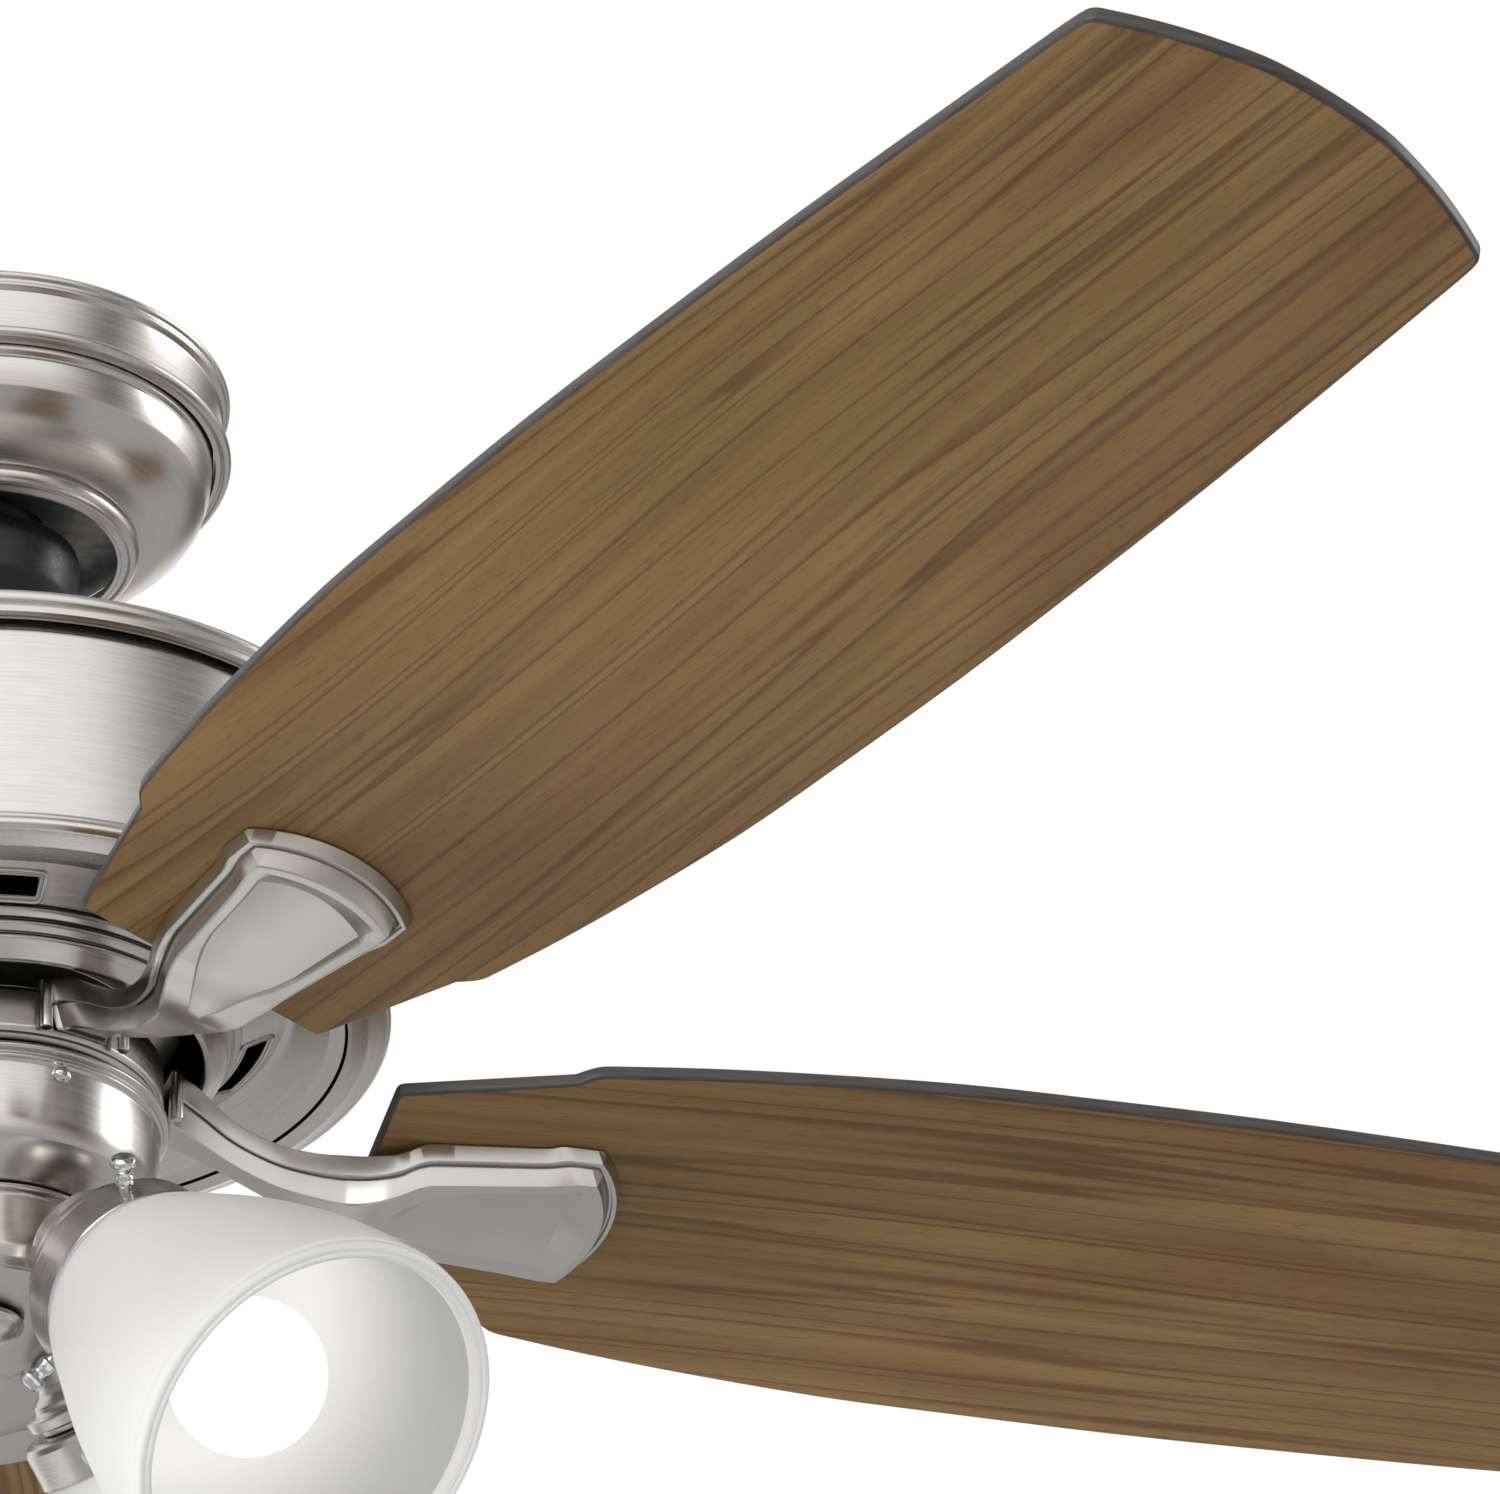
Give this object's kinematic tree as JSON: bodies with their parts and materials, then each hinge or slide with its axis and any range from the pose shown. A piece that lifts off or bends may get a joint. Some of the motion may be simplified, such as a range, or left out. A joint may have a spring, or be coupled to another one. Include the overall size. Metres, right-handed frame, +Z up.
{
  "type": "ceiling fan with light",
  "caption": "Downrod ceiling fan with walnut blades on cast irons, a brushed nickel drum motor housing, and a light kit with tilted frosted glass shades below.",
  "frame": {"origin": "on the fan's axis at the ceiling, the centre of the hanger bracket's top face", "axes": "+Z up, along the fan's axis into the ceiling; +X to the right and +Y to the back as the fan is usually seen"},
  "size_m": [1.2659, 1.2353, 0.4637],
  "materials": {
    "brushed_nickel": "satin, fine turning lines",
    "brushed_nickel_barrel": "satin, brushed round the barrel",
    "cast_nickel": "satin plated casting",
    "walnut_veneer": "open-pored veneer under matt lacquer",
    "zinc_steel": "zinc plated, dull",
    "lamination_steel": "bare stacked sheet",
    "copper_wire": "varnished wire",
    "black_enamel": "dipped and baked, nearly matt",
    "polished_chrome": "bright",
    "edge_paint": "charcoal paint on the plywood edge",
    "black_plastic": "moulded, slightly glossy",
    "frosted_glass": "acid-etched white glass",
    "bulb_glass": "soft white, lit",
    "porcelain": "glazed"
  },
  "bodies": {
    "ceiling_mount": {"hanger_bracket": "zinc_steel", "canopy_ring": "brushed_nickel", "canopy_bowl": "brushed_nickel", "canopy_screw_back": "zinc_steel", "canopy_screw_front": "zinc_steel"},
    "fan_body": {"hanger_ball": "black_plastic", "ball_pin": "zinc_steel", "downrod": "brushed_nickel", "yoke_cover": "black_plastic", "motor_coupling": "zinc_steel", "clevis_pin": "zinc_steel", "motor_shaft": "zinc_steel", "stator_winding": "copper_wire", "stator_core": "lamination_steel", "upper_bearing": "zinc_steel", "lower_bearing": "zinc_steel", "housing_cover": "brushed_nickel", "housing_barrel": "brushed_nickel_barrel", "vent_ring": "brushed_nickel", "switch_plate": "zinc_steel", "switch_housing": "brushed_nickel", "chain_outlet": "brushed_nickel", "speed_switch": "black_plastic", "capacitor": "black_plastic", "reverse_switch": "black_plastic", "light_fitter": "brushed_nickel", "finial": "brushed_nickel", "lamp_arm_1": "brushed_nickel", "lamp_arm_2": "brushed_nickel", "lamp_arm_3": "brushed_nickel", "lamp_arm_4": "brushed_nickel", "shade_holder_1": "brushed_nickel", "shade_holder_2": "brushed_nickel", "shade_holder_3": "brushed_nickel", "shade_holder_4": "brushed_nickel", "lamp_socket_1": "porcelain", "lamp_socket_2": "porcelain", "lamp_socket_3": "porcelain", "lamp_socket_4": "porcelain", "bulb_1": "bulb_glass", "bulb_2": "bulb_glass", "bulb_3": "bulb_glass", "bulb_4": "bulb_glass", "shade_1": "frosted_glass", "shade_2": "frosted_glass", "shade_3": "frosted_glass", "shade_4": "frosted_glass"},
    "rotor": {"rotor_bell": "black_enamel", "flywheel_hub": "brushed_nickel", "blade_iron_1": "cast_nickel", "blade_iron_2": "cast_nickel", "blade_iron_3": "cast_nickel", "blade_iron_4": "cast_nickel", "blade_iron_5": "cast_nickel", "blade_1": "walnut_veneer", "blade_2": "walnut_veneer", "blade_3": "walnut_veneer", "blade_4": "walnut_veneer", "blade_5": "walnut_veneer"},
    "reverse_slider": {"reverse_slider": "black_plastic"}
  },
  "joints": [
    {"name": "hanger_swing", "type": "hinge", "parent": "ceiling_mount", "child": "fan_body", "pos_m": [0, 0, -0.038], "axis": [1, 0, 0], "range_deg": [-10, 10]},
    {"name": "blade_spin", "type": "hinge", "parent": "fan_body", "child": "rotor", "pos_m": [0, 0, -0.27], "axis": [0, 0, 1], "continuous": true},
    {"name": "reverse_slide", "type": "slide", "parent": "fan_body", "child": "reverse_slider", "axis": [0, 0, 1], "range_m": [0, 0.006]}
  ]
}
